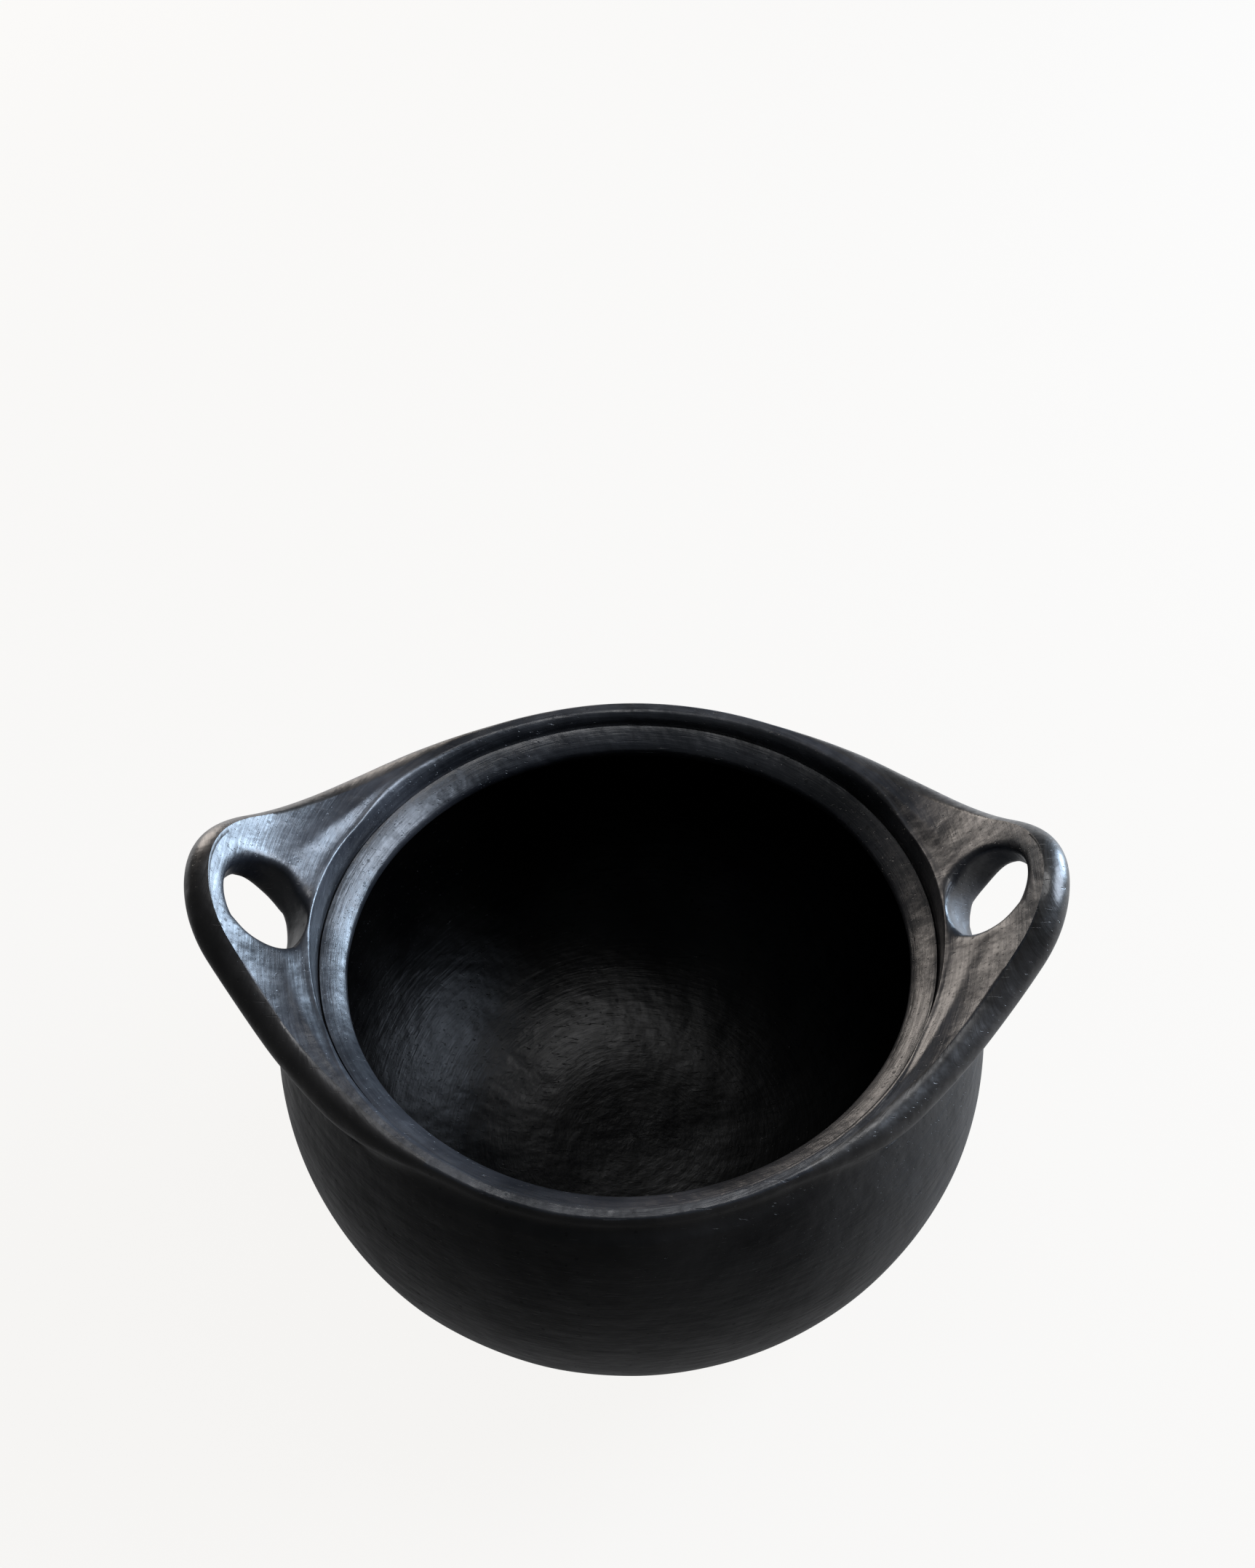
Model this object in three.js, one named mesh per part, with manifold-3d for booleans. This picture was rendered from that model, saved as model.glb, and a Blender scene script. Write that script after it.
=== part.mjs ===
// Black clay soup pot: a round-bottomed, coil-built pot with a lid seat inside its mouth
// and two pierced ear handles that rise out of the rim.
// Millimetres, +Z up. The origin is the centre of the foot, and +X points to the right handle.

import * as THREE from "three";
import { LoftGeometry } from "three/addons/geometries/LoftGeometry.js";
import { mergeVertices } from "three/addons/utils/BufferGeometryUtils.js";
import Module from "manifold-3d";

const wasm = await Module();
wasm.setup();

// ---- Driving dimensions ----

// The slip that lutes two pieces of clay together. Along the ear's edge it is measured
// along the radius, which the sides of the ear cross at a slant.
const SLIP = 0.3;
const EDGE_SLIP = 0.5;

// Body of the pot
const BELLY_RADIUS = 125;
const BELLY_HEIGHT = 81;
const FOOT_RADIUS = 60;
const WALL = 8;
const FLOOR = 8;
const INNER_FLOOR_RADIUS = 42;

// Mouth
const RIM_OUTER_RADIUS = 113.8;
const RIM_HEIGHT = 136.5;
const RIM_COIL_HEIGHT = 18.5;
const RIM_THICKNESS = 5;
const RIM_ROUNDING = 2;
const LIP_SLOPE = 3.3;
const GROOVE_DEPTH = 7;
const SEAT_WIDTH = 8.5;
const SEAT_DROP = 5;
const SEAT_THICKNESS = 8;
const SEAT_FOOT = 7;
const STEP_HEIGHT = 2;

// Rounding of the lid seat: shares of its width and of its thickness
const SEAT_CROWN = 0.45;
const SEAT_SHOULDER = 0.2;
const SEAT_NOSE = 0.6;
const SEAT_UNDERCUT = 0.5;
const SEAT_EASE = 1;

// Joints between the base, the two wall coils and the rim coil
const BASE_JOINT_HEIGHT = 40;
const WALL_JOINT_RISE = 3;
const SCARF = 5;

// Handles: the crest is the ridge line along the top of the ear
const HANDLE_REACH = 25.2;
const HANDLE_TIP_ROUNDING = 40.6;
const HANDLE_RISE = 34.5;
const RISE_BEND_INSET = 15.7;
const RISE_BEND_SOFTNESS = 26;
const HANDLE_HALF_ANGLE = THREE.MathUtils.degToRad(58);
const HANDLE_SEAT_DEPTH = 10.5;
const WEB_DISH = 1.5;
const WEB_EASE = 1;
const WEB_UNDER_HEIGHT = 7;
const WEB_UNDER_END = 2.8;

// Coil along the outer edge of the ear, at the ear's tip and where it runs out into the rim
const EDGE_TIP = { halfWidth: 6.5, halfHeight: 7.2, offset: 2.8 };
const EDGE_END = { halfWidth: 2, halfHeight: 3, offset: 0 };
const EDGE_EASE = 0.5;
const EDGE_FLAT_ANGLE = THREE.MathUtils.degToRad(125);

// Finger hole: it takes the web's whole width but for a lip of clay on each side
const HOLE_MOUTH_LIP = 1;
const HOLE_EDGE_LIP = 2.8;
const HOLE_HALF_WIDTH = 17;
const HOLE_LEAN = THREE.MathUtils.degToRad(33);

// How finely the round shapes are faceted
const TURN_SEGMENTS = 64;
const WALL_STEPS = 4;
const CROWN_STEPS = 4;
const HANDLE_STEPS = 26;
const FACE_STEPS = 6;
const EDGE_STEPS = 10;
const HOLE_SEGMENTS = 28;

// Smoked, burnished clay: darkest low down, greyer where it is rubbed round the mouth
const CLAY = {
  base: { color: 0x101013, roughness: 0.55, metalness: 0.05 },
  lowerWall: { color: 0x131316, roughness: 0.5, metalness: 0.05 },
  upperWall: { color: 0x151518, roughness: 0.45, metalness: 0.05 },
  seat: { color: 0x2a2b33, roughness: 0.4, metalness: 0.05 },
  rim: { color: 0x242428, roughness: 0.38, metalness: 0.05 },
  web: { color: 0x2c2c33, roughness: 0.38, metalness: 0.05 },
  edge: { color: 0x29272a, roughness: 0.4, metalness: 0.05 },
};

// ---- Sizes that follow from them ----

const WALL_JOINT_HEIGHT = BELLY_HEIGHT + WALL_JOINT_RISE;
const RIM_JOINT_HEIGHT = RIM_HEIGHT - RIM_COIL_HEIGHT;
const GROOVE_HEIGHT = RIM_HEIGHT - GROOVE_DEPTH;
const SEAT_TOP = GROOVE_HEIGHT - SEAT_DROP;
const LIP_INNER_RADIUS = RIM_OUTER_RADIUS - RIM_THICKNESS;
const GROOVE_RADIUS = LIP_INNER_RADIUS - LIP_SLOPE;
const SEAT_RADIUS = GROOVE_RADIUS - SEAT_WIDTH;
const CREST_RADIUS = RIM_OUTER_RADIUS - EDGE_END.halfWidth;
const TIP_RADIUS = CREST_RADIUS + HANDLE_REACH;
const TIP_CENTRE = TIP_RADIUS - HANDLE_TIP_ROUNDING;
const TANGENT_ANGLE = Math.acos((CREST_RADIUS - HANDLE_TIP_ROUNDING) / TIP_CENTRE);
const TIP_ARC_ANGLE = Math.atan2(
  HANDLE_TIP_ROUNDING * Math.sin(TANGENT_ANGLE),
  TIP_CENTRE + HANDLE_TIP_ROUNDING * Math.cos(TANGENT_ANGLE),
);
const HANDLE_SEAT_HEIGHT = RIM_HEIGHT - HANDLE_SEAT_DEPTH;

// ---- Curves of the pot ----

// Outside of the pot: an elliptic lower half and a shoulder that draws in to the rim.
function outerRadius(z) {
  if (z <= BELLY_HEIGHT) {
    const down = 1 - z / BELLY_HEIGHT;
    return FOOT_RADIUS + (BELLY_RADIUS - FOOT_RADIUS) * Math.sqrt(1 - down * down);
  }
  const up = (z - BELLY_HEIGHT) / (RIM_HEIGHT - BELLY_HEIGHT);
  return BELLY_RADIUS - (BELLY_RADIUS - RIM_OUTER_RADIUS) * up * up;
}

// Inside of the pot: a flat floor, an elliptic knuckle and an even wall above the belly.
function innerRadius(z) {
  if (z >= BELLY_HEIGHT) return outerRadius(z) - WALL;
  const down = (BELLY_HEIGHT - z) / (BELLY_HEIGHT - FLOOR);
  const spread = BELLY_RADIUS - WALL - INNER_FLOOR_RADIUS;
  return INNER_FLOOR_RADIUS + spread * Math.sqrt(Math.max(0, 1 - down * down));
}

// Heights from low to high; ease above 1 crowds them towards the low end.
function levels(low, high, steps, ease = 1) {
  return Array.from({ length: steps + 1 }, (_, i) => low + (high - low) * (i / steps) ** ease);
}

function along(radiusAt, heights) {
  return heights.map((z) => new THREE.Vector2(radiusAt(z), z));
}

// Plan radius of the ear's crest: a rounded tip joined to the rim by two straight tangents.
function crestRadius(angle) {
  const a = Math.abs(angle);
  if (a >= TANGENT_ANGLE) return CREST_RADIUS;
  if (a >= TIP_ARC_ANGLE) return CREST_RADIUS / Math.cos(TANGENT_ANGLE - a);
  const side = TIP_CENTRE * Math.sin(a);
  return TIP_CENTRE * Math.cos(a) + Math.sqrt(HANDLE_TIP_ROUNDING ** 2 - side * side);
}

// A bend that is level well inside the pot and climbs steadily beyond the bend line.
function bend(x) {
  const past = x - (TIP_RADIUS - RISE_BEND_INSET);
  return Math.hypot(past, RISE_BEND_SOFTNESS) + past;
}

// Height of the ear's upper face: it curls up towards the tip and is straight across.
function earHeight(radius, angle) {
  const share = (bend(radius * Math.cos(angle)) - bend(0)) / (bend(TIP_RADIUS) - bend(0));
  return RIM_HEIGHT + HANDLE_RISE * share;
}

// 0 where the ear runs out into the rim, 1 at its tip.
function reachShare(angle) {
  return (crestRadius(angle) - CREST_RADIUS) / HANDLE_REACH;
}

// ---- Solids ----

function solidOf(geometry) {
  const surface = new THREE.BufferGeometry().setIndex(geometry.index);
  surface.setAttribute("position", geometry.getAttribute("position"));
  const merged = mergeVertices(surface, 1e-4);
  return new wasm.Manifold(
    new wasm.Mesh({
      numProp: 3,
      vertProperties: merged.getAttribute("position").array,
      triVerts: new Uint32Array(merged.index.array),
    }),
  );
}

function geometryOf(solid) {
  const mesh = solid.getMesh();
  const geometry = new THREE.BufferGeometry();
  geometry.setAttribute("position", new THREE.BufferAttribute(mesh.vertProperties, 3));
  geometry.setIndex(new THREE.BufferAttribute(mesh.triVerts, 1));
  geometry.computeVertexNormals();
  return geometry;
}

function turned(profile) {
  return new THREE.LatheGeometry(profile, TURN_SEGMENTS).rotateX(Math.PI / 2);
}

// A closed ring turned from a section given counterclockwise in the radius-height plane.
function ring(section) {
  return turned([...section, section[0]]);
}

// A solid swept round part of the pot, with its section worked out anew at each angle.
// The sections are given counterclockwise, as a ring's are, and the loft reads them reversed.
function sweptRound(sectionAt, halfAngle, steps) {
  const sections = levels(-halfAngle, halfAngle, steps).map((angle) =>
    sectionAt(angle)
      .reverse()
      .map((p) => new THREE.Vector3(p.x * Math.cos(angle), p.x * Math.sin(angle), p.y)),
  );
  return new LoftGeometry(sections, { capStart: true, capEnd: true });
}

// ---- Pieces of the body ----

// Pressed bottom: the flat foot, the round of the bowl and the floor, one pancake of clay.
function baseBowl() {
  const outside = along(outerRadius, levels(0, BASE_JOINT_HEIGHT, 2 * WALL_STEPS, 2));
  const inside = along(innerRadius, levels(FLOOR, BASE_JOINT_HEIGHT + SCARF, 2 * WALL_STEPS, 2));
  return turned([
    new THREE.Vector2(0, 0),
    ...outside,
    ...inside.reverse(),
    new THREE.Vector2(0, FLOOR),
  ]);
}

// A wall coil between two scarfed joints; each joint slopes up towards the inside.
function wallCoil(low, high, topScarf) {
  const outside = along(outerRadius, levels(low + SLIP, high, WALL_STEPS));
  const inside = along(innerRadius, levels(low + SCARF + SLIP, high + topScarf, WALL_STEPS));
  return ring([...outside, ...inside.reverse()]);
}

// Lid seat: a coil stuck to the inside of the wall, with a crowned top that slopes inwards.
function lidSeat() {
  const wallTop = RIM_JOINT_HEIGHT - SLIP;
  const wallRadius = innerRadius(wallTop) - SLIP;
  const footHeight = wallTop - SEAT_FOOT;
  const crown = new THREE.QuadraticBezierCurve(
    new THREE.Vector2(SEAT_RADIUS + SEAT_EASE, SEAT_TOP),
    new THREE.Vector2(GROOVE_RADIUS - SEAT_CROWN * SEAT_WIDTH, GROOVE_HEIGHT),
    new THREE.Vector2(GROOVE_RADIUS, GROOVE_HEIGHT),
  );
  return ring([
    new THREE.Vector2(innerRadius(footHeight) - SLIP, footHeight),
    new THREE.Vector2(wallRadius, wallTop),
    new THREE.Vector2(GROOVE_RADIUS, wallTop + STEP_HEIGHT),
    ...crown.getPoints(CROWN_STEPS).reverse(),
    new THREE.Vector2(SEAT_RADIUS, SEAT_TOP - SEAT_SHOULDER * SEAT_THICKNESS),
    new THREE.Vector2(SEAT_RADIUS + SEAT_EASE, SEAT_TOP - SEAT_NOSE * SEAT_THICKNESS),
    new THREE.Vector2(SEAT_RADIUS + SEAT_UNDERCUT * SEAT_WIDTH, SEAT_TOP - SEAT_THICKNESS),
  ]);
}

// The notch in the rim coil that an ear sits in, on the +X side unless it is turned.
function handleNotch(turn) {
  const clear = BELLY_RADIUS + RIM_OUTER_RADIUS;
  const section = () => [
    new THREE.Vector2(SEAT_RADIUS, HANDLE_SEAT_HEIGHT),
    new THREE.Vector2(clear, HANDLE_SEAT_HEIGHT),
    new THREE.Vector2(clear, RIM_HEIGHT + RIM_COIL_HEIGHT),
    new THREE.Vector2(SEAT_RADIUS, RIM_HEIGHT + RIM_COIL_HEIGHT),
  ];
  const halfAngle = HANDLE_HALF_ANGLE + SLIP / RIM_OUTER_RADIUS;
  return solidOf(sweptRound(section, halfAngle, HANDLE_STEPS).rotateZ(turn));
}

// Rim coil: the rounded lip, its inner slope down to the groove and a step over the lid seat.
function rimLip() {
  const base = RIM_JOINT_HEIGHT + SLIP;
  const inner = GROOVE_RADIUS + SLIP;
  const outside = along(outerRadius, levels(base, RIM_HEIGHT - RIM_ROUNDING, WALL_STEPS));
  const lipEdge = new THREE.QuadraticBezierCurve(
    new THREE.Vector2(RIM_OUTER_RADIUS, RIM_HEIGHT - RIM_ROUNDING),
    new THREE.Vector2(RIM_OUTER_RADIUS, RIM_HEIGHT),
    new THREE.Vector2(RIM_OUTER_RADIUS - RIM_ROUNDING, RIM_HEIGHT),
  );
  const coil = ring([
    ...outside,
    ...lipEdge.getPoints(2).slice(1),
    new THREE.Vector2(LIP_INNER_RADIUS + RIM_ROUNDING / 2, RIM_HEIGHT),
    new THREE.Vector2(LIP_INNER_RADIUS, RIM_HEIGHT - RIM_ROUNDING / 2),
    new THREE.Vector2(inner, GROOVE_HEIGHT),
    new THREE.Vector2(inner, base + STEP_HEIGHT + SLIP),
    new THREE.Vector2(innerRadius(base), base),
  ]);
  const notched = solidOf(coil).subtract(handleNotch(0)).subtract(handleNotch(Math.PI));
  return geometryOf(notched);
}

// ---- Pieces of a handle, drawn on the +X side ----

// The edge coil's centre and half sizes at an angle round the pot.
function edgeSize(angle) {
  const share = reachShare(angle) ** EDGE_EASE;
  const mix = (key) => THREE.MathUtils.lerp(EDGE_END[key], EDGE_TIP[key], share);
  const crest = crestRadius(angle);
  return {
    radius: crest + mix("offset"),
    height: earHeight(crest, angle) - mix("halfHeight"),
    halfWidth: mix("halfWidth"),
    halfHeight: mix("halfHeight"),
  };
}

// Edge coil: the thick rolled edge of the ear, flattened where it is luted to the web.
function edgeSection(angle) {
  const { radius, height, halfWidth, halfHeight } = edgeSize(angle);
  return levels(-EDGE_FLAT_ANGLE, EDGE_FLAT_ANGLE, EDGE_STEPS).map(
    (turn) =>
      new THREE.Vector2(radius + halfWidth * Math.cos(turn), height + halfHeight * Math.sin(turn)),
  );
}

// The web's outer face: level with the coil's flat at the top, and just below the coil.
function webEdge(angle) {
  const { radius, height, halfWidth, halfHeight } = edgeSize(angle);
  const r = radius + halfWidth * Math.cos(EDGE_FLAT_ANGLE) - EDGE_SLIP;
  return {
    top: new THREE.Vector2(r, height + halfHeight * Math.sin(EDGE_FLAT_ANGLE)),
    bottom: new THREE.Vector2(r, height - halfHeight - EDGE_SLIP),
  };
}

// Where the underside of the web meets the outside of the pot.
function webFoot(angle) {
  const height = THREE.MathUtils.lerp(
    HANDLE_SEAT_HEIGHT + WEB_UNDER_END,
    RIM_HEIGHT - WEB_UNDER_HEIGHT,
    reachShare(angle),
  );
  return new THREE.Vector2(outerRadius(height), height);
}

// Web: the slab of the ear, from the groove in the mouth over the rim and out to the edge coil.
function webSection(angle) {
  const { top, bottom } = webEdge(angle);
  const foot = webFoot(angle);
  const seat = HANDLE_SEAT_HEIGHT + SLIP;
  const inner = GROOVE_RADIUS + SLIP;
  const upperFace = levels(LIP_INNER_RADIUS + WEB_EASE, top.x, FACE_STEPS).map((r) => {
    const across = (r - LIP_INNER_RADIUS) / (top.x - LIP_INNER_RADIUS);
    const dish = WEB_DISH * reachShare(angle) * Math.sin(Math.PI * across);
    return new THREE.Vector2(r, earHeight(r, angle) - dish);
  });
  upperFace[upperFace.length - 1] = top;
  const hump = earHeight(LIP_INNER_RADIUS, angle) - WEB_EASE;
  const underside = foot.clone().lerp(bottom, 1 / 2);
  underside.y -= WEB_EASE * reachShare(angle);
  return [
    new THREE.Vector2(inner, seat),
    new THREE.Vector2(outerRadius(seat), seat),
    foot,
    underside,
    bottom,
    ...upperFace.reverse(),
    new THREE.Vector2(LIP_INNER_RADIUS, hump),
    new THREE.Vector2(inner, GROOVE_HEIGHT),
  ];
}

// The finger hole, square to the leaning web.
function fingerHole() {
  const inner = LIP_INNER_RADIUS + HOLE_MOUTH_LIP;
  const outer = webEdge(0).top.x - HOLE_EDGE_LIP;
  const centre = (inner + outer) / 2;
  const halfLength = (outer - inner) / 2 / Math.cos(HOLE_LEAN);
  const ellipse = new THREE.EllipseCurve(0, 0, halfLength, HOLE_HALF_WIDTH);
  const outline = new THREE.Shape(ellipse.getPoints(HOLE_SEGMENTS).slice(1));
  const depth = HANDLE_RISE + 2 * RIM_COIL_HEIGHT;
  const hole = new THREE.ExtrudeGeometry(outline, { depth, bevelEnabled: false });
  hole.translate(0, 0, -depth / 2).rotateY(-HOLE_LEAN);
  hole.translate(centre, 0, earHeight(centre, 0));
  return solidOf(hole);
}

function handleWeb() {
  const slab = solidOf(sweptRound(webSection, HANDLE_HALF_ANGLE, HANDLE_STEPS));
  return geometryOf(slab.subtract(fingerHole()));
}

function handleEdgeCoil() {
  return sweptRound(edgeSection, HANDLE_HALF_ANGLE, HANDLE_STEPS);
}

// ---- Assembly ----

function piece(name, geometry, clay) {
  const mesh = new THREE.Mesh(geometry, new THREE.MeshStandardMaterial(clay));
  mesh.name = name;
  return mesh;
}

function handle(side, turn) {
  const group = new THREE.Group();
  group.add(
    piece(`${side}_handle_web`, handleWeb(), CLAY.web),
    piece(`${side}_handle_edge_coil`, handleEdgeCoil(), CLAY.edge),
  );
  group.rotation.z = turn;
  return group;
}

const pot = new THREE.Group();
pot.add(
  piece("base_bowl", baseBowl(), CLAY.base),
  piece("lower_wall_coil", wallCoil(BASE_JOINT_HEIGHT, WALL_JOINT_HEIGHT, SCARF), CLAY.lowerWall),
  piece("upper_wall_coil", wallCoil(WALL_JOINT_HEIGHT, RIM_JOINT_HEIGHT, 0), CLAY.upperWall),
  piece("lid_seat", lidSeat(), CLAY.seat),
  piece("rim_lip", rimLip(), CLAY.rim),
  handle("right", 0),
  handle("left", Math.PI),
);

export default pot;
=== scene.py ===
import functools
import math

import bmesh
import bpy
import numpy as np
from mathutils import Matrix, Vector, kdtree, noise


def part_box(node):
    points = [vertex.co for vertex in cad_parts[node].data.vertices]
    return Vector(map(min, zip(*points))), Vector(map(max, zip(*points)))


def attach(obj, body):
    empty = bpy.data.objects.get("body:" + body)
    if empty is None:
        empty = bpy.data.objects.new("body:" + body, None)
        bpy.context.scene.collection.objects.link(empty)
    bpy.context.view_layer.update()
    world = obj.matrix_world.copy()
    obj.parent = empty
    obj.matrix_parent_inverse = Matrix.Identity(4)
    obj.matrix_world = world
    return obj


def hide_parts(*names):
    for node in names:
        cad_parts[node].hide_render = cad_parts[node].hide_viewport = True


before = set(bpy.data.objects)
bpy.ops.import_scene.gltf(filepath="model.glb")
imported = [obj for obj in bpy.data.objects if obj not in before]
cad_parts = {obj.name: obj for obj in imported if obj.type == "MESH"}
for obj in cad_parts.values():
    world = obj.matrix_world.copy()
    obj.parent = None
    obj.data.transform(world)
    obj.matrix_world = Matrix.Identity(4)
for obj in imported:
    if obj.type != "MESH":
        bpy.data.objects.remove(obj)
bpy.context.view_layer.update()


# ---- Base bowl ----
# The bottom of the pot: one pancake of smoked black clay pressed into a round mould, with its
# underside flattened to stand on. The floor inside is burnished round and round with a pebble.

mm = 0.001
belly_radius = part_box("lower_wall_coil")[1].x
belly_height = 81 * mm
foot_radius = 60 * mm
rim_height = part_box("rim_lip")[1].z
rim_outer_radius = 113.8 * mm
wall = 8 * mm
floor_height = 8 * mm
inner_floor_radius = 28 * mm
scarf = 5 * mm
base_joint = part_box("base_bowl")[1].z - scarf
turn_steps = 600
hard_corner = math.radians(42)

# The unevenness of hand work: how many swings to the metre, and how deep
lean_grain, lean_depth = 11, 0.7 * mm
dent_grain, dent_depth = 34, 0.25 * mm


def outer_radius(height):
    """Outside of the pot: an elliptic lower half and a shoulder that draws in to the rim."""
    if height <= belly_height:
        down = 1 - height / belly_height
        return foot_radius + (belly_radius - foot_radius) * math.sqrt(max(0, 1 - down * down))
    up = (height - belly_height) / (rim_height - belly_height)
    return belly_radius - (belly_radius - rim_outer_radius) * up * up


def inner_radius(height):
    """Inside of the pot: a flat floor, an elliptic knuckle and an even wall above the belly."""
    if height >= belly_height:
        return outer_radius(height) - wall
    down = (belly_height - height) / (belly_height - floor_height)
    spread = belly_radius - wall - inner_floor_radius
    return inner_floor_radius + spread * math.sqrt(max(0, 1 - down * down))


def levels(low, high, steps, bottom=0.0):
    """Heights up a round wall, closer together where it curves in to its bottom."""
    depth = belly_height - bottom

    def turn(height):
        if height > belly_height:
            return math.pi / 2 + (height - belly_height) / depth
        return math.acos((belly_height - height) / depth)

    def height_at(turned):
        if turned > math.pi / 2:
            return belly_height + (turned - math.pi / 2) * depth
        return belly_height - depth * math.cos(turned)

    start, end = turn(low), turn(high)
    return [height_at(start + (end - start) * i / steps) for i in range(steps + 1)]


def outside(low, high, steps):
    return [(outer_radius(z), z) for z in levels(low, high, steps)]


def inside(low, high, steps):
    return [(inner_radius(z), z) for z in levels(low, high, steps, floor_height)]


# Seeded, because the noise is shifted by chance without it and no two runs would match
noise.seed_set(1)


def hand_worked(place):
    """The slight unevenness of clay that is beaten, scraped and rubbed by hand."""
    lean = noise.noise_vector(place * lean_grain) * lean_depth
    dents = noise.noise_vector(place * dent_grain + Vector((3, 5, 7))) * dent_depth
    off_the_table = min(1, place.z / (10 * mm))
    return place + (lean + dents) * off_the_table


def turned(section):
    """A closed section of (radius, height) corners, turned once round the pot's axis."""
    bm = bmesh.new()
    corners = [bm.verts.new((radius, 0, height)) for radius, height in section]
    sides = [bm.edges.new(pair) for pair in zip(corners, corners[1:] + corners[:1])]
    bmesh.ops.spin(
        bm,
        geom=corners + sides,
        cent=(0, 0, 0),
        axis=(0, 0, 1),
        angle=math.tau,
        steps=turn_steps,
        use_merge=True,
    )
    bmesh.ops.remove_doubles(bm, verts=bm.verts, dist=0.001 * mm)
    bmesh.ops.recalc_face_normals(bm, faces=bm.faces)
    return bm


def soften(bm):
    """Smooth shading all over, but for the hard corners where a piece meets its neighbour."""
    bmesh.ops.dissolve_degenerate(bm, dist=0.001 * mm, edges=bm.edges)
    bmesh.ops.recalc_face_normals(bm, faces=bm.faces)
    for face in bm.faces:
        face.smooth = True
    for edge in bm.edges:
        edge.smooth = not edge.is_manifold or edge.calc_face_angle() < hard_corner


def fire(bm, node, outer, inner=None):
    """Makes a finished clay piece of a mesh and puts it in place of its CAD node.

    The faces that look in, and those that lie flat, can have an inner clay of their own,
    painted darker as the shade that falls inside the pot.
    """
    soften(bm)
    if inner:
        for face in bm.faces:
            middle = face.calc_center_median()
            looks_in = face.normal.xy.dot(middle.xy) < 0 and middle.z > floor_height / 2
            lies_flat = face.normal.z > 0.7
            face.material_index = int(looks_in or lies_flat)
    mesh = bpy.data.meshes.new(node + "_clay")
    bm.to_mesh(mesh)
    bm.free()
    piece = bpy.data.objects.new(node + "_clay", mesh)
    bpy.context.scene.collection.objects.link(piece)
    mesh.materials.append(outer)
    if inner:
        mesh.materials.append(inner)
    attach(piece, "root")
    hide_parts(node)
    return piece


def node_in(tree, kind, settings=None, **inputs):
    """A shader node with its settings and the values or links of its inputs."""
    made = tree.nodes.new(kind)
    for key, value in (settings or {}).items():
        setattr(made, key, value)
    for key, value in inputs.items():
        numbered = key[0] == "i" and key[1:].isdigit()
        plug = made.inputs[int(key[1:]) if numbered else key]
        if isinstance(value, bpy.types.NodeSocket):
            tree.links.new(value, plug)
        else:
            plug.default_value = value
    return made


def maths(tree, operation, first, second=0.0, clamp=False):
    settings = {"operation": operation, "use_clamp": clamp}
    return node_in(tree, "ShaderNodeMath", settings, i0=first, i1=second).outputs[0]


def ramp(tree, value, low, high):
    """0 below low, 1 above high, eased between."""
    settings = {"interpolation_type": "SMOOTHSTEP"}
    return node_in(
        tree, "ShaderNodeMapRange", settings, Value=value, **{"From Min": low, "From Max": high}
    ).outputs[0]


def grain(tree, vector, scale, detail=3.0, roughness=0.5):
    return node_in(
        tree, "ShaderNodeTexNoise", None,
        Vector=vector, Scale=scale, Detail=detail, Roughness=roughness,
    ).outputs["Fac"]


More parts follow.
